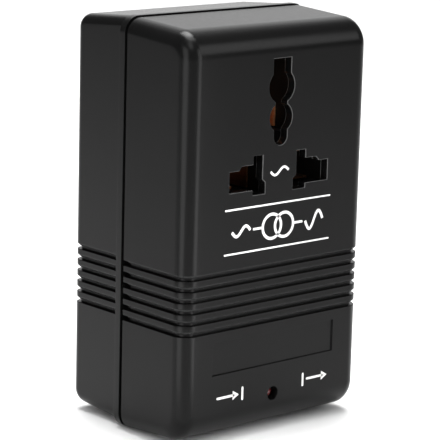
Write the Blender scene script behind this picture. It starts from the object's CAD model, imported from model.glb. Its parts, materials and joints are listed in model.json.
"""Finishes, printed signs and studio of a travel voltage converter.

The frame holds the solids. The shells and the slider are copied from it and get fine rounds.
"""

import json
import math

import bpy
from bpy.props import FloatProperty, FloatVectorProperty, PointerProperty
from mathutils import Matrix, Vector

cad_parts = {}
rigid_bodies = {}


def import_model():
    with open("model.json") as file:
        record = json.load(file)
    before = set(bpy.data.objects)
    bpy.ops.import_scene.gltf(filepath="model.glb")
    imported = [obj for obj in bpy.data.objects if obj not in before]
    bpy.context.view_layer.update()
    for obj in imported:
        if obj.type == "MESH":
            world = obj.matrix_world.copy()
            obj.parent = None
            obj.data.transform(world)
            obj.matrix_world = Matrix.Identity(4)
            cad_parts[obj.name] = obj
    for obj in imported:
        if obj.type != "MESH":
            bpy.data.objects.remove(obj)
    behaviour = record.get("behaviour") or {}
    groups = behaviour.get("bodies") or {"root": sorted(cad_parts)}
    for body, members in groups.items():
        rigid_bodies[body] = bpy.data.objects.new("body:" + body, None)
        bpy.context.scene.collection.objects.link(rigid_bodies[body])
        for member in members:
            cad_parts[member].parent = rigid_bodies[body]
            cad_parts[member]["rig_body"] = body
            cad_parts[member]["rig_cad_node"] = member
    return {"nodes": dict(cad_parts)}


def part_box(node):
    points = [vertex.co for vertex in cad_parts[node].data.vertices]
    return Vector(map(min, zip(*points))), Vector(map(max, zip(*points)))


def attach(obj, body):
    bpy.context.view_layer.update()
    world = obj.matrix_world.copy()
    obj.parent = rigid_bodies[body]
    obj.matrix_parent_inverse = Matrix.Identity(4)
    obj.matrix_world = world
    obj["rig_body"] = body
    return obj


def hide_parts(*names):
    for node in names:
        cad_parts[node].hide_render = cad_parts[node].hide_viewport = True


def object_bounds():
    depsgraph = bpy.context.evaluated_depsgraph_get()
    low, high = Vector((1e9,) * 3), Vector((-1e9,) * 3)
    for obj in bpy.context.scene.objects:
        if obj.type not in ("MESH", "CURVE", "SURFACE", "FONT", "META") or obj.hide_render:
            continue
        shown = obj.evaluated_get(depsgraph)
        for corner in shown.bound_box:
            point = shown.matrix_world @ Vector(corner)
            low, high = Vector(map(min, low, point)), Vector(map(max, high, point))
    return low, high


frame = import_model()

bl_info = {
    "name": "Travel voltage converter",
    "version": (1, 0, 0),
    "blender": (4, 5, 0),
    "location": "View3D > Sidebar > Converter",
    "description": "Finishes, printed signs and studio of a travel voltage converter",
    "category": "Object",
}

MM = 0.001

# Places that the frame gives
CAD_BOX = [list(corner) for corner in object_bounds()]
FRONT_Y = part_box("front_case")[0].y
BACK_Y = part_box("rear_cover")[1].y
SELECTOR_Z = sum(corner.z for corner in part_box("selector_slider")) / 2

# The front shell's rim at the parting line, and the rounds of its top
RIM_Y = FRONT_Y + 21.504 * MM
TOP_ROUND = 6.4 * MM
SIDE_ROUND = 3.8 * MM

# The band of grooves, and the part of the front wall that holds the outlet's apertures
GROOVE_LOW, GROOVE_HIGH = 24.5 * MM, 41.0 * MM
OUTLET_LOW, OUTLET_HIGH, OUTLET_HALF = 52.0 * MM, 88.0 * MM, 17.0 * MM
OUTLET_WALL = 2.4 * MM

# Material slots of a shell, and how far the faces of two of them look down or along the depth
SATIN, SLOPE, RIM, INNER_RIM = range(4)
SLOPE_LOOK = (-0.9, -0.4)
RIM_LOOK = (0.1, 0.97)

# How copied meshes are cleaned, rounded and shaded
MERGE_REACH = 0.002 * MM
SAME_PLACE = 0.01 * MM
LEAST_EDGE = 0.0005 * MM
FLAT_ANGLE = math.radians(0.5)
SHARP_ANGLE = math.radians(38)
SMOOTH_ANGLE = math.radians(32)
ROUND_STEPS = 3
FACE_WEIGHT = 100

# Where the textures' values mostly lie, and the pitch of a wave texture's bands at scale 1
NOISE_LOW, NOISE_HIGH = 0.3, 0.7
DARK_STOP, LIGHT_STOP = 0.32, 0.68
BAND_PITCH = 0.314

# Moulded plastic: slow clouding of its colour and fine mottling of its gloss
CLOUD_SIZE, CLOUD_SPREAD = 26 * MM, 0.10
MOTTLE_SIZE, MOTTLE_SPREAD = 1.2 * MM, 0.012

# Bare metal: drawing lines, with their spread in colour and roughness and their stretch
LINE_SIZE, LINE_DEPTH = 0.5 * MM, 0.004 * MM
LINE_TONES, LINE_ROUGH = 0.12, 0.08
DRAWN = 0.06

# Printed signs: films that a print is deep, so that it holds in the shell, and shares of a stroke
FILM_HOLD = 1.4
BOLD, THIN = 1.2, 0.7
ARROW_HEAD = 2.2
BAR_ROUND, BAR_STEPS = 0.45, 5
RING_STEPS = 72
WAVE_STEPS = 48
FIGURE_SHARE, FIGURE_STEPS = 0.7, 6
FACING_FRONT = (math.pi / 2, 0, 0)
FACING_BACK = (math.pi / 2, 0, math.pi)

# Studio
FLOOR_SIZE = 9.0
SENSOR_WIDTH = 36
NEAREST = 0.01


def length(name, description, default):
    """A size in metres that a user may change."""
    return FloatProperty(
        name=name, description=description, default=default, unit="LENGTH", precision=5
    )


def colour(name, description, default):
    """A colour that a user may change."""
    return FloatVectorProperty(
        name=name, description=description, default=default, subtype="COLOR", min=0, max=1
    )


def share(name, description, default):
    """A number from 0 to 1 that a user may change."""
    return FloatProperty(
        name=name, description=description, default=default, min=0, max=1, subtype="FACTOR"
    )


def power(name, description, default):
    """A light's power in watts that a user may change."""
    return FloatProperty(name=name, description=description, default=default, subtype="POWER")


def direction(name, description, default):
    """A direction that a user may change."""
    return FloatVectorProperty(
        name=name, description=description, default=default, subtype="DIRECTION"
    )


class ConverterFinish(bpy.types.PropertyGroup):
    """Colours and surfaces of the pieces."""

    case_colour: colour("Case", "Moulded shells", (0.0036, 0.0036, 0.0036))
    slope_colour: colour("Groove slopes", "Greyer plastic of the slopes", (0.025, 0.025, 0.025))
    rim_colour: colour("Outlet rims", "Rims of the outlet, worn by plugs", (0.07, 0.07, 0.07))
    inner_rim_colour: colour("Inner rims", "Back rims of the outlet", (0.22, 0.22, 0.22))
    case_rough: share("Case roughness", "Roughness of the shells", 0.26)
    case_gloss: share("Case gloss", "Specular level of the front shell", 0.115)
    rear_gloss: share("Rear gloss", "Specular level of the rear shell", 0.15)
    grain_size: length("Grain", "Width of the moulding's grain", 0.22 * MM)
    grain_depth: length("Grain depth", "Height of the moulding's grain", 0.0012 * MM)
    edge_round: length("Edge round", "Round along the shells' sharp edges", 0.11 * MM)
    top_drop: length("Top drop", "Fall of the front shell's top at the rim", 0.34 * MM)
    rim_gap: length("Rim gap", "Extra width of the gap between the shells", 0.4 * MM)
    inner_colour: colour("Inner mouldings", "Carrier, inlet and selector", (0.004, 0.004, 0.004))
    copper_colour: colour("Contact strip", "Copper contacts", (0.40, 0.19, 0.10))
    earth_colour: colour("Earth strip", "Bright copper of the earth contact", (0.95, 0.46, 0.22))
    brass_colour: colour("Brass", "Clips, bridge and terminals", (0.72, 0.52, 0.20))
    steel_colour: colour("Steel", "Screws and band", (0.42, 0.42, 0.43))
    core_colour: colour("Core sheet", "Laminations", (0.16, 0.16, 0.17))
    nickel_colour: colour("Nickel", "Inlet pins and fuse caps", (0.66, 0.65, 0.62))
    lamp_colour: colour("Lamp lens", "Tinted lens", (0.075, 0.012, 0.013))
    slider_colour: colour("Selector slider", "Moulded slider", (0.42, 0.012, 0.010))
    print_colour: colour("Print", "Printed signs", (0.80, 0.80, 0.79))


class ConverterSigns(bpy.types.PropertyGroup):
    """Sizes of the printed signs."""

    film: length("Film", "Thickness of the print", 0.04 * MM)
    stroke: length("Stroke", "Width of a printed line", 0.55 * MM)
    wave_w: length("Wave width", "Length of the outlet's wave sign", 5.4 * MM)
    wave_h: length("Wave height", "Height of the outlet's wave sign", 2.2 * MM)
    wave_z: length("Wave place", "Height of the outlet's wave sign on the front", 60.5 * MM)
    ring_r: length("Ring", "Radius of the two linked rings", 3.1 * MM)
    ring_z: length("Ring place", "Height of the linked rings on the front", 48.1 * MM)
    rule_w: length("Rule", "Length of the printed rules", 32.0 * MM)
    arrow_z: length("Arrow place", "Height of the two arrows on the front", 10.6 * MM)
    figure_h: length("Figures", "Height of the selector's figures", 3.4 * MM)


class ConverterStudio(bpy.types.PropertyGroup):
    """Camera and light."""

    camera_place: FloatVectorProperty(
        name="Camera", description="Place of the camera", default=(-0.3318, -0.3738, 0.1533),
        subtype="TRANSLATION", unit="LENGTH",
    )
    camera_ahead: direction("Aim", "Where the camera looks", (0.6503, 0.7298, -0.2107))
    camera_up: direction("Upright", "Way to the picture's upper edge", (0.1202, 0.1750, 0.9772))
    lens: FloatProperty(
        name="Lens", description="Focal length in millimetres", default=181.1, min=1
    )
    top_power: power("Top light", "Power of the overhead panel", 12.5)
    pool_power: power("Pool light", "Power of the panel over the object", 1.1)
    back_power: power("Back light", "Power of the panel behind", 8.0)
    fill_power: power("Fill light", "Power of the panel at the camera's side", 1.0)
    upper_power: power("Upper light", "Power of the panel above the back one", 3.0)
    strip_power: power("Strip lights", "Power of each upright strip", 0.033)
    right_power: power("Right light", "Power of the panel at the right", 1.5)
    room: FloatProperty(
        name="Room", description="Strength of the even light", default=0.18, min=0
    )
    floor_colour: colour("Floor", "Pale floor", (0.86, 0.86, 0.86))


GROUPS = {
    "converter_finish": ConverterFinish,
    "converter_signs": ConverterSigns,
    "converter_studio": ConverterStudio,
}


class Paint:
    """A node material on Object coordinates, with a Principled shader."""

    def __init__(self, name, rough, metal=0.0):
        self.material = bpy.data.materials.new(name)
        self.material.use_nodes = True
        self.tree = self.material.node_tree
        self.shader = self.tree.nodes["Principled BSDF"]
        self.shader.inputs["Roughness"].default_value = rough
        self.shader.inputs["Metallic"].default_value = metal
        self.place = self.tree.nodes.new("ShaderNodeTexCoord").outputs["Object"]

    def set(self, **values):
        """Sets the shader's own sockets, named with _ for a space."""
        for socket, value in values.items():
            self.shader.inputs[socket.replace("_", " ")].default_value = value
        return self

    def stretched(self, scale):
        """Object coordinates, scaled along each axis."""
        node = self.tree.nodes.new("ShaderNodeMapping")
        node.inputs["Scale"].default_value = scale
        self.tree.links.new(self.place, node.inputs["Vector"])
        return node.outputs["Vector"]

    def noise(self, size, detail=2.0, stretch=None):
        """Cloudy pattern with spots of about this size."""
        node = self.tree.nodes.new("ShaderNodeTexNoise")
        node.inputs["Scale"].default_value = 1 / size
        node.inputs["Detail"].default_value = detail
        place = self.stretched(stretch) if stretch else self.place
        self.tree.links.new(place, node.inputs["Vector"])
        return node.outputs["Fac"]

    def bands(self, size, axis, warp=0.0):
        """Stripes of this pitch across an axis."""
        node = self.tree.nodes.new("ShaderNodeTexWave")
        node.bands_direction = axis
        node.inputs["Scale"].default_value = BAND_PITCH / size
        node.inputs["Distortion"].default_value = warp
        self.tree.links.new(self.place, node.inputs["Vector"])
        return node.outputs["Fac"]

    def colours(self, source, dark, light):
        """Colour between two tones."""
        node = self.tree.nodes.new("ShaderNodeValToRGB")
        low, high = node.color_ramp.elements
        low.position, low.color = DARK_STOP, (*dark, 1)
        high.position, high.color = LIGHT_STOP, (*light, 1)
        self.tree.links.new(source, node.inputs["Fac"])
        self.tree.links.new(node.outputs["Color"], self.shader.inputs["Base Color"])
        return self

    def roughness(self, source, low, high):
        """Roughness between two values."""
        node = self.tree.nodes.new("ShaderNodeMapRange")
        node.inputs["From Min"].default_value = NOISE_LOW
        node.inputs["From Max"].default_value = NOISE_HIGH
        node.inputs["To Min"].default_value = low
        node.inputs["To Max"].default_value = high
        self.tree.links.new(source, node.inputs["Value"])
        self.tree.links.new(node.outputs["Result"], self.shader.inputs["Roughness"])
        return self

    def relief(self, source, depth):
        """Fine relief of this depth."""
        node = self.tree.nodes.new("ShaderNodeBump")
        node.inputs["Strength"].default_value = 1.0
        node.inputs["Distance"].default_value = depth
        self.tree.links.new(source, node.inputs["Height"])
        self.tree.links.new(node.outputs["Normal"], self.shader.inputs["Normal"])
        return self


def tones(base, spread):
    """A darker and a lighter tone of one colour."""
    return tuple(c * (1 - spread) for c in base), tuple(min(1, c * (1 + spread)) for c in base)


def moulded(name, base, rough, gloss, grain, depth):
    """Moulded plastic with a fine grain and slow clouding."""
    paint = Paint(name, rough).set(Specular_IOR_Level=gloss)
    paint.colours(paint.noise(CLOUD_SIZE, detail=3), *tones(base, CLOUD_SPREAD))
    mottle = paint.noise(MOTTLE_SIZE, detail=3)
    paint.roughness(mottle, rough - MOTTLE_SPREAD, rough + MOTTLE_SPREAD)
    paint.relief(paint.noise(grain), depth)
    return paint.material


def metal(name, base, rough, drawn):
    """Bare metal with drawing lines along one axis."""
    paint = Paint(name, rough, metal=1.0)
    lines = paint.noise(LINE_SIZE, detail=3, stretch=drawn)
    paint.colours(lines, *tones(base, LINE_TONES))
    paint.roughness(lines, rough - LINE_ROUGH, rough + LINE_ROUGH)
    paint.relief(lines, LINE_DEPTH)
    return paint.material


def coat(piece, *materials):
    """Gives a piece these materials and no others."""
    piece.data.materials.clear()
    for material in materials:
        piece.data.materials.append(material)


def dress(material, *nodes):
    """Gives CAD nodes a material."""
    for node in nodes:
        coat(frame["nodes"][node], material)


def deselect():
    """Leaves edit mode and selects nothing."""
    if bpy.context.object and bpy.context.object.mode != "OBJECT":
        leave_edit()
    bpy.ops.object.select_all(action="DESELECT")


def pick(*pieces):
    """Selects these pieces alone, the first one active."""
    deselect()
    for piece in pieces:
        piece.select_set(True)
    bpy.context.view_layer.objects.active = pieces[0]


def edit_all():
    """Goes into edit mode with the whole mesh selected."""
    bpy.ops.object.mode_set(mode="EDIT")
    bpy.ops.mesh.select_all(action="SELECT")


def leave_edit():
    """Goes back to object mode."""
    bpy.ops.object.mode_set(mode="OBJECT")


def settle(piece):
    """Puts the piece's place into its mesh."""
    pick(piece)
    bpy.ops.object.transform_apply(location=True, rotation=True, scale=True)
    return piece


def rename(piece, name):
    """Names a piece and its mesh alike."""
    piece.name = name
    piece.data.name = name
    return piece


def join(name, *pieces):
    """Makes one piece of several."""
    pick(*pieces)
    if len(pieces) > 1:
        bpy.ops.object.join()
    return rename(pieces[0], name)


def printed(name, parts, ink, film):
    """Makes one sign of flat parts, with its film thickness inwards from its face."""
    sign = join(name, *parts)
    solid = sign.modifiers.new("film", "SOLIDIFY")
    solid.thickness = film * FILM_HOLD
    solid.offset = -1
    bpy.ops.object.modifier_apply(modifier=solid.name)
    coat(sign, ink)
    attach(sign, "case")


def bar(x0, z0, x1, z1):
    """Flat printed bar with round corners."""
    deselect()
    bpy.ops.mesh.primitive_plane_add(
        size=1, location=((x0 + x1) / 2, FRONT_Y, (z0 + z1) / 2), rotation=FACING_FRONT
    )
    piece = bpy.context.object
    piece.scale = (x1 - x0, z1 - z0, 1)
    settle(piece)
    edit_all()
    bpy.ops.mesh.bevel(
        affect="VERTICES", offset=min(x1 - x0, z1 - z0) * BAR_ROUND, segments=BAR_STEPS,
        clamp_overlap=True,
    )
    leave_edit()
    return piece


def ring(x, z, radius, stroke):
    """Flat printed ring."""
    deselect()
    bpy.ops.mesh.primitive_circle_add(
        vertices=RING_STEPS, radius=radius, fill_type="NGON", location=(x, FRONT_Y, z),
        rotation=FACING_FRONT,
    )
    piece = settle(bpy.context.object)
    edit_all()
    bpy.ops.mesh.inset(thickness=stroke)
    bpy.ops.mesh.delete(type="FACE")
    leave_edit()
    return piece


def wave(x, z, width, height, stroke):
    """Flat printed wave of one period."""
    deselect()
    bpy.ops.mesh.primitive_grid_add(
        x_subdivisions=WAVE_STEPS, y_subdivisions=1, size=1, location=(x, FRONT_Y, z),
        rotation=FACING_FRONT,
    )
    piece = settle(bpy.context.object)
    swing = (height - stroke) / 2
    for vertex in piece.data.vertices:
        along = vertex.co.x - x
        side = 1 if vertex.co.z > z else -1
        turn = 2 * math.pi * along
        slope = Vector((width, 0, swing * 2 * math.pi * math.cos(turn))).normalized()
        vertex.co.x = x + along * width - slope.z * side * stroke / 2
        vertex.co.z = z + swing * math.sin(turn) + slope.x * side * stroke / 2
    return piece


def arrow(x0, x1, z, stroke):
    """Flat printed arrow from x0 to x1."""
    ahead = 1 if x1 > x0 else -1
    head = stroke * ARROW_HEAD
    neck = x1 - ahead * head
    shaft = bar(min(x0, neck), z - stroke / 2, max(x0, neck), z + stroke / 2)
    deselect()
    bpy.ops.mesh.primitive_circle_add(
        vertices=3, radius=head, fill_type="NGON", location=(neck, FRONT_Y, z),
        rotation=(math.pi / 2, -ahead * math.pi / 2 + math.pi, 0),
    )
    return join("arrow", shaft, settle(bpy.context.object))


def figures(body, x, z, height):
    """Flat printed figures on the back, read from behind."""
    deselect()
    bpy.ops.object.text_add(location=(x, BACK_Y, z), rotation=FACING_BACK)
    text = bpy.context.object.data
    text.body = body
    text.size = height / FIGURE_SHARE
    text.align_x = "CENTER"
    text.align_y = "CENTER"
    text.resolution_u = FIGURE_STEPS
    bpy.ops.object.convert(target="MESH")
    return settle(bpy.context.object)


def at_outlet(place):
    """Whether a place lies among the outlet's apertures."""
    return abs(place.x) < OUTLET_HALF and OUTLET_LOW < place.z < OUTLET_HIGH


def front_spot(place):
    """The spot on the front that a place lies behind, to a hundredth of a millimetre."""
    return round(place.x / MM, 2), round(place.z / MM, 2)


def round_rims(piece, width):
    """Rounds the apertures' rims, in front and behind."""
    bpy.ops.object.mode_set(mode="EDIT")
    bpy.ops.mesh.select_mode(type="EDGE")
    bpy.ops.mesh.select_all(action="DESELECT")
    bpy.ops.mesh.edges_select_sharp(sharpness=SHARP_ANGLE)
    leave_edit()
    points = piece.data.vertices
    outline = {front_spot(point.co) for point in points if point.co.y < FRONT_Y + SAME_PLACE}
    for edge in piece.data.edges:
        one, two = (points[index].co for index in edge.vertices)
        on_rim = all(at_outlet(end) and front_spot(end) in outline for end in (one, two))
        edge.select = edge.select and on_rim and abs(one.y - two.y) < SAME_PLACE
    for item in (*points, *piece.data.polygons):
        item.select = False
    bpy.ops.object.mode_set(mode="EDIT")
    bpy.ops.mesh.bevel(offset=width, segments=ROUND_STEPS, affect="EDGES", clamp_overlap=True)
    leave_edit()


def draw_back_rim(piece, gap, reach):
    """Widens the shadow gap: moves the rim away from the other shell."""
    for vertex in piece.data.vertices:
        if abs(vertex.co.y - RIM_Y) < reach:
            vertex.co.y -= gap


def settle_top(piece, drop):
    """Lowers the top a little towards the rim, so that the other shell's lip stands above it."""
    start = FRONT_Y + TOP_ROUND
    top = max(vertex.co.z for vertex in piece.data.vertices)
    for vertex in piece.data.vertices:
        along = (vertex.co.y - start) / (RIM_Y - start)
        up = (vertex.co.z - top + SIDE_ROUND) / SIDE_ROUND
        if along > 0 and up > 0:
            vertex.co.z -= drop * min(along, 1.0) * up * up


def softened(node, name, width, sink=0.0, rims=0.0, gap=0.0, drop=0.0):
    """Copy of a CAD node with rounded edges, which replaces it.

    sink takes the front and back faces in by a print's thickness. rims, gap and drop are for the
    front shell: the round of the outlet's rims, the wider shadow gap and the lower top.
    """
    pick(frame["nodes"][node])
    bpy.ops.object.duplicate()
    piece = rename(bpy.context.object, name)
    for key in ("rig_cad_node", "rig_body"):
        del piece[key]
    edit_all()
    bpy.ops.mesh.remove_doubles(threshold=MERGE_REACH)
    bpy.ops.mesh.dissolve_limited(angle_limit=FLAT_ANGLE)
    leave_edit()
    if rims:
        round_rims(piece, rims)
    bevel = piece.modifiers.new("edge", "BEVEL")
    bevel.width = width
    bevel.segments = ROUND_STEPS
    bevel.limit_method = "ANGLE"
    bevel.angle_limit = SHARP_ANGLE
    bevel.use_clamp_overlap = False
    bevel.miter_outer = "MITER_ARC"
    bpy.ops.object.modifier_apply(modifier=bevel.name)
    for vertex in piece.data.vertices:
        vertex.co.y = min(max(vertex.co.y, FRONT_Y + sink), BACK_Y - sink)
    if gap:
        draw_back_rim(piece, gap, reach=2 * width)
    if drop:
        settle_top(piece, drop)
    edit_all()
    bpy.ops.mesh.quads_convert_to_tris(quad_method="BEAUTY", ngon_method="BEAUTY")
    # Triangles of no area go, and what they leave is divided again
    bpy.ops.mesh.dissolve_degenerate(threshold=LEAST_EDGE)
    bpy.ops.mesh.quads_convert_to_tris(quad_method="BEAUTY", ngon_method="BEAUTY")
    leave_edit()
    bpy.ops.object.shade_smooth_by_angle(angle=SMOOTH_ANGLE)
    even = piece.modifiers.new("even", "WEIGHTED_NORMAL")
    even.weight = FACE_WEIGHT
    even.keep_sharp = True
    bpy.ops.object.modifier_apply(modifier=even.name)
    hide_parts(node)
    return piece


def shell_slot(face):
    """Material slot of a shell's face."""
    place, look = face.center, face.normal
    if GROOVE_LOW < place.z < GROOVE_HIGH and SLOPE_LOOK[0] < look.z < SLOPE_LOOK[1]:
        return SLOPE
    in_wall = at_outlet(place) and place.y < FRONT_Y + OUTLET_WALL
    if in_wall and RIM_LOOK[0] < abs(look.y) < RIM_LOOK[1]:
        return RIM if look.y < 0 else INNER_RIM
    return SATIN


class CONVERTER_OT_shells(bpy.types.Operator):
    """Rounds the edges of the two shells and gives them satin black plastic"""

    bl_idname = "converter.shells"
    bl_label = "Shells"

    def execute(self, context):
        finish = context.scene.converter_finish
        film = context.scene.converter_signs.film

        def plastic(name, tone, gloss):
            return moulded(
                name, tone, finish.case_rough, gloss, finish.grain_size, finish.grain_depth
            )

        worn = plastic("outlet_rim_worn", finish.rim_colour, finish.case_gloss)
        worn_inside = plastic("outlet_inner_rim_worn", finish.inner_rim_colour, finish.case_gloss)
        front_only = {
            "rims": 2 * finish.edge_round, "gap": finish.rim_gap, "drop": finish.top_drop,
        }
        for node, gloss, changes in (
            ("front_case", finish.case_gloss, front_only),
            ("rear_cover", finish.rear_gloss, {}),
        ):
            shell = softened(node, node + "_shell", finish.edge_round, film, **changes)
            satin = plastic(node + "_satin_black", finish.case_colour, gloss)
            slope = plastic(node + "_groove_slope", finish.slope_colour, gloss)
            coat(shell, satin, slope, worn, worn_inside)
            for face in shell.data.polygons:
                face.material_index = shell_slot(face)
            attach(shell, "case")
        return {"FINISHED"}


class CONVERTER_OT_inner_mouldings(bpy.types.Operator):
    """Dull black carrier, inlet and selector bodies, nylon bobbin and the cut-out's sleeve"""

    bl_idname = "converter.inner_mouldings"
    bl_label = "Inner mouldings"

    def execute(self, context):
        finish = context.scene.converter_finish
        dull = moulded(
            "inner_dull_black", finish.inner_colour, rough=0.55, gloss=0.1,
            grain=0.35 * MM, depth=0.006 * MM,
        )
        dress(dull, "outlet_carrier", "outlet_backplate", "inlet_housing", "selector_housing")
        nylon = moulded(
            "bobbin_nylon", (0.62, 0.56, 0.42), rough=0.42, gloss=0.4,
            grain=0.3 * MM, depth=0.004 * MM,
        )
        dress(nylon, "bobbin")
        sleeve = moulded(
            "cutout_sleeve", (0.03, 0.03, 0.034), rough=0.35, gloss=0.5,
            grain=0.5 * MM, depth=0.006 * MM,
        )
        dress(sleeve, "thermal_cutout")
        return {"FINISHED"}


class CONVERTER_OT_metalwork(bpy.types.Operator):
    """Contacts, screws, pins, clips, wires and the band"""

    bl_idname = "converter.metalwork"
    bl_label = "Metalwork"

    def execute(self, context):
        finish = context.scene.converter_finish
        along_x = (DRAWN, 1.0, 1.0)
        along_y = (1.0, DRAWN, 1.0)
        round_about = (DRAWN, 1.0, DRAWN)
        even = (1.0, 1.0, 1.0)
        tin = (0.60, 0.60, 0.57)
        for name, base, rough, drawn, nodes in (
            ("contact_strip", finish.copper_colour, 0.34, along_y,
             ("live_contact", "neutral_contact")),
            ("earth_strip", finish.earth_colour, 0.48, along_y, ("earth_contact",)),
            ("brass_strip", finish.brass_colour, 0.32, along_x,
             ("fuse_clips", "selector_bridge", "selector_terminals")),
            ("zinc_screw", finish.steel_colour, 0.38, even,
             ("case_screws", "outlet_screws", "board_screws", "inlet_screws", "selector_screws")),
            ("bright_band", finish.steel_colour, 0.28, round_about, ("core_band",)),
            ("nickel_pin", finish.nickel_colour, 0.20, along_y, ("inlet_pins", "fuse_caps")),
            ("tinned_wire", tin, 0.36, along_x,
             ("lamp_legs", "resistor_legs", "fuse_element")),
        ):
            dress(metal(name, base, rough, drawn), *nodes)
        return {"FINISHED"}


class CONVERTER_OT_transformer(bpy.types.Operator):
    """Sheet edges of the core, enamelled wire and tape"""

    bl_idname = "converter.transformer"
    bl_label = "Transformer"

    def execute(self, context):
        finish = context.scene.converter_finish
        core = Paint("core_sheets", rough=0.5, metal=0.8)
        sheets = core.bands(0.5 * MM, "Y", warp=0.4)
        core.colours(sheets, *tones(finish.core_colour, spread=0.35))
        core.roughness(core.noise(2 * MM, detail=3), low=0.42, high=0.6)
        core.relief(sheets, depth=0.05 * MM)
        dress(core.material, "e_laminations", "i_laminations")
        wire = Paint("enamelled_wire", rough=0.28, metal=0.7).set(Coat_Weight=0.4)
        turns = wire.bands(0.45 * MM, "Z", warp=0.3)
        wire.colours(turns, dark=(0.20, 0.05, 0.015), light=(0.52, 0.17, 0.05))
        wire.relief(turns, depth=0.12 * MM)
        dress(wire.material, "inner_winding", "outer_winding")
        tape = Paint("polyester_tape", rough=0.3).set(Coat_Weight=0.3)
        clouds = tape.noise(5 * MM, detail=3)
        tape.colours(clouds, dark=(0.52, 0.36, 0.04), light=(0.68, 0.50, 0.08))
        tape.roughness(tape.noise(1.5 * MM, detail=3), low=0.22, high=0.38)
        tape.relief(tape.bands(6 * MM, "Z", warp=0.2), depth=0.02 * MM)
        dress(tape.material, "interlayer_tape", "outer_tape")
        return {"FINISHED"}


class CONVERTER_OT_board(bpy.types.Operator):
    """Board, resistor and fuse glass"""

    bl_idname = "converter.board"
    bl_label = "Board and fuse"

    def execute(self, context):
        board = Paint("board_lacquer", rough=0.3).set(Coat_Weight=0.3)
        clouds = board.noise(4 * MM, detail=3)
        board.colours(clouds, dark=(0.010, 0.070, 0.024), light=(0.022, 0.115, 0.045))
        board.roughness(board.noise(1 * MM, detail=3), low=0.24, high=0.4)
        board.relief(board.noise(0.4 * MM), depth=0.006 * MM)
        dress(board.material, "lamp_board")
        body = Paint("resistor_lacquer", rough=0.35)
        stripes = body.bands(0.9 * MM, "X")
        body.colours(stripes, dark=(0.12, 0.05, 0.03), light=(0.52, 0.36, 0.18))
        body.relief(body.noise(0.5 * MM), depth=0.01 * MM)
        dress(body.material, "series_resistor")
        glass = Paint("fuse_tube_glass", rough=0.05).set(Transmission_Weight=1.0, IOR=1.5)
        glass.colours(glass.noise(6 * MM), dark=(0.86, 0.92, 0.90), light=(0.94, 0.97, 0.96))
        dress(glass.material, "fuse_tube")
        return {"FINISHED"}


class CONVERTER_OT_lamp(bpy.types.Operator):
    """Tinted lens of the indicator lamp"""

    bl_idname = "converter.lamp"
    bl_label = "Indicator lamp"

    def execute(self, context):
        finish = context.scene.converter_finish
        lens = Paint("lamp_tint", rough=0.16)
        lens.set(Coat_Weight=0.5, Subsurface_Weight=0.25, Subsurface_Scale=0.8 * MM)
        lens.colours(lens.noise(0.9 * MM), *tones(finish.lamp_colour, spread=0.25))
        lens.roughness(lens.noise(0.5 * MM), low=0.10, high=0.22)
        dress(lens.material, "indicator_lamp")
        return {"FINISHED"}


class CONVERTER_OT_selector(bpy.types.Operator):
    """Red slider of the selector"""

    bl_idname = "converter.selector"
    bl_label = "Selector slider"

    def execute(self, context):
        finish = context.scene.converter_finish
        red = moulded(
            "slider_red", finish.slider_colour, rough=0.36, gloss=0.5,
            grain=0.25 * MM, depth=0.004 * MM,
        )
        slider = softened("selector_slider", "selector_slider_cap", width=0.12 * MM)
        coat(slider, red)
        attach(slider, "slider")
        return {"FINISHED"}


class CONVERTER_OT_leads(bpy.types.Operator):
    """Insulation of the inside wiring"""

    bl_idname = "converter.leads"
    bl_label = "Leads"

    def execute(self, context):
        for node, base in (
            ("brown_leads", (0.10, 0.04, 0.018)),
            ("blue_leads", (0.015, 0.05, 0.24)),
            ("tap_leads", (0.26, 0.015, 0.012)),
        ):
            insulation = moulded(
                node + "_insulation", base, rough=0.4, gloss=0.5,
                grain=0.4 * MM, depth=0.006 * MM,
            )
            dress(insulation, node)
        return {"FINISHED"}


class CONVERTER_OT_front_signs(bpy.types.Operator):
    """Printed signs on the front: waves, linked rings, rules and arrows"""

    bl_idname = "converter.front_signs"
    bl_label = "Front signs"

    def execute(self, context):
        signs = context.scene.converter_signs
        ink = moulded(
            "print_white", context.scene.converter_finish.print_colour, rough=0.5, gloss=0.4,
            grain=0.12 * MM, depth=0.002 * MM,
        )
        stroke = signs.stroke
        bold, thin, half = stroke * BOLD, stroke * THIN, stroke / 2

        # Linked rings: their middles, their outer ends, and the lines and waves beside them
        r, z = signs.ring_r, signs.ring_z
        middle, end = 0.6 * r, 1.6 * r
        line, overlap = 2.6 * MM, 0.1 * MM
        wave_x, wave_w, low_wave, high_wave = end + 6.1 * MM, 5.4 * MM, 2.8 * MM, 4.6 * MM

        # Rules above and below the rings
        rule, upper, lower = signs.rule_w / 2, z + 4.9 * MM, z - 5.1 * MM

        # Arrows towards and away from a stop, one on each side
        arrow_far, arrow_near = 17 * MM, 10.4 * MM
        stop_far, stop_near = 9.6 * MM, 9.05 * MM
        arrow_z, stop_half = signs.arrow_z, 1.6 * MM
        stop_low, stop_high = arrow_z - stop_half, arrow_z + stop_half

        groups = {
            "outlet_wave_sign": [wave(0, signs.wave_z, signs.wave_w, signs.wave_h, stroke)],
            "linked_rings_sign": [
                ring(-middle, z, r, bold),
                ring(middle, z, r, bold),
                bar(-end - line, z - half, -end + overlap, z + half),
                bar(end - overlap, z - half, end + line, z + half),
                wave(-wave_x, z, wave_w, low_wave, bold),
                wave(wave_x, z, wave_w, high_wave, bold),
            ],
            "front_rules": [
                bar(-rule, upper, rule, upper + thin),
                bar(-rule, lower, rule, lower + thin),
            ],
            "arrow_signs": [
                arrow(-arrow_far, -arrow_near, arrow_z, stroke),
                bar(-stop_far, stop_low, -stop_near, stop_high),
                bar(stop_near, stop_low, stop_far, stop_high),
                arrow(arrow_near, arrow_far, arrow_z, stroke),
            ],
        }
        for name, parts in groups.items():
            printed(name, parts, ink, signs.film)
        return {"FINISHED"}


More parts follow.
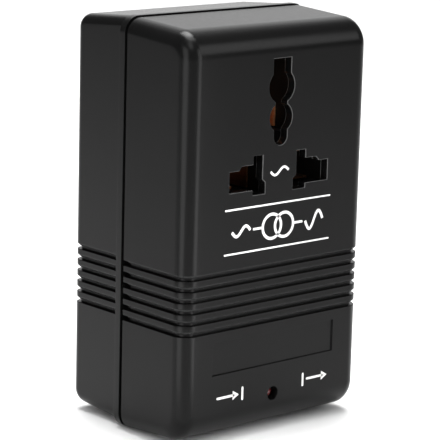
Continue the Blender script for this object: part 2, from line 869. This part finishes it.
class CONVERTER_OT_selector_figures(bpy.types.Operator):
    """Figures printed above the selector on the back, in the front signs' ink"""

    bl_idname = "converter.selector_figures"
    bl_label = "Selector figures"

    def execute(self, context):
        signs = context.scene.converter_signs
        ink = bpy.data.materials["print_white"]
        side, z = 4.6 * MM, SELECTOR_Z + 7.2 * MM
        pair = [
            figures("220", -side, z, signs.figure_h),
            figures("110", side, z, signs.figure_h),
        ]
        printed("selector_figures", pair, ink, signs.film)
        return {"FINISHED"}


def panel_light(name, place, aim, size, watts):
    """Soft panel light that looks at a point."""
    deselect()
    bpy.ops.object.light_add(type="AREA", location=place)
    lamp = bpy.context.object
    lamp.name = name
    lamp.data.shape = "RECTANGLE"
    lamp.data.size, lamp.data.size_y = size
    lamp.data.energy = watts
    lamp.rotation_euler = (Vector(aim) - Vector(place)).to_track_quat("-Z", "Y").to_euler()


class CONVERTER_OT_stage(bpy.types.Operator):
    """Pale floor, soft light and the camera"""

    bl_idname = "converter.stage"
    bl_label = "Stage"

    def execute(self, context):
        studio = context.scene.converter_studio
        self.lay_floor(studio)
        self.hang_lights(studio)
        context.scene.world = self.even_room(studio)
        context.scene.camera = self.place_camera(studio)
        context.scene.view_settings.view_transform = "Standard"
        return {"FINISHED"}

    def lay_floor(self, studio):
        deselect()
        bpy.ops.mesh.primitive_plane_add(size=FLOOR_SIZE, location=(0, 0, CAD_BOX[0][2]))
        floor = settle(bpy.context.object)
        floor.name = "floor"
        card = Paint("floor_card", rough=0.8).set(Specular_IOR_Level=0.1)
        card.colours(card.noise(0.6), *tones(studio.floor_colour, spread=0.01))
        coat(floor, card.material)

    def hang_lights(self, studio):
        body = (0, 0, 0.05)
        edge = (-0.027, -0.021, 0.06)  # the upright edge between the front and the left side
        strip = studio.strip_power
        for name, place, aim, size, watts in (
            ("top_panel", (0.15, 0.25, 0.90), (0.15, 0.25, 0), (0.5, 0.5), studio.top_power),
            ("pool_panel", (0, -0.02, 0.42), (0, -0.02, 0), (0.2, 0.2), studio.pool_power),
            ("back_panel", (1.25, 1.45, 0.75), body, (1.6, 1.6), studio.back_power),
            ("fill_panel", (-0.30, -0.34, 0.62), (0, -0.05, 0), (0.3, 0.3), studio.fill_power),
            ("upper_panel", (0.80, 1.10, 1.25), body, (2.0, 1.2), studio.upper_power),
            ("left_strip", (-0.0713, -0.0287, 0.06), edge, (0.026, 0.118), strip),
            ("front_strip", (-0.0099, -0.0626, 0.06), edge, (0.022, 0.118), strip),
            ("right_panel", (0.62, -0.63, 0.52), body, (0.30, 0.48), studio.right_power),
        ):
            panel_light(name, place, aim, size, watts)

    def even_room(self, studio):
        world = bpy.data.worlds.new("studio_room")
        world.use_nodes = True
        room = world.node_tree.nodes["Background"]
        room.inputs["Color"].default_value = (1, 1, 1, 1)
        room.inputs["Strength"].default_value = studio.room
        return world

    def place_camera(self, studio):
        ahead = Vector(studio.camera_ahead).normalized()
        right = ahead.cross(Vector(studio.camera_up)).normalized()
        up = right.cross(ahead)
        turn = Matrix((right, up, -ahead)).transposed().to_4x4()
        deselect()
        bpy.ops.object.camera_add()
        camera = bpy.context.object
        camera.name = "photo_camera"
        camera.matrix_world = Matrix.Translation(Vector(studio.camera_place)) @ turn
        camera.data.lens = studio.lens
        camera.data.sensor_width = SENSOR_WIDTH
        camera.data.clip_start = NEAREST
        return camera


OPERATORS = (
    CONVERTER_OT_shells,
    CONVERTER_OT_inner_mouldings,
    CONVERTER_OT_metalwork,
    CONVERTER_OT_transformer,
    CONVERTER_OT_board,
    CONVERTER_OT_lamp,
    CONVERTER_OT_selector,
    CONVERTER_OT_leads,
    CONVERTER_OT_front_signs,
    CONVERTER_OT_selector_figures,
    CONVERTER_OT_stage,
)


class VIEW3D_PT_converter(bpy.types.Panel):
    """Lists the pieces and their values"""

    bl_label = "Travel voltage converter"
    bl_space_type = "VIEW_3D"
    bl_region_type = "UI"
    bl_category = "Converter"

    def draw(self, context):
        for operator in OPERATORS:
            self.layout.operator(operator.bl_idname)
        for group in GROUPS:
            values = getattr(context.scene, group)
            box = self.layout.box()
            for name in values.__annotations__:
                box.prop(values, name)


CLASSES = (*GROUPS.values(), *OPERATORS, VIEW3D_PT_converter)


def register():
    for cls in CLASSES:
        bpy.utils.register_class(cls)
    for name, group in GROUPS.items():
        setattr(bpy.types.Scene, name, PointerProperty(type=group))


def unregister():
    for name in GROUPS:
        delattr(bpy.types.Scene, name)
    for cls in reversed(CLASSES):
        bpy.utils.unregister_class(cls)


def main():
    register()
    for operator in OPERATORS:
        family, name = operator.bl_idname.split(".")
        getattr(getattr(bpy.ops, family), name)()


if __name__ == "__main__":
    main()
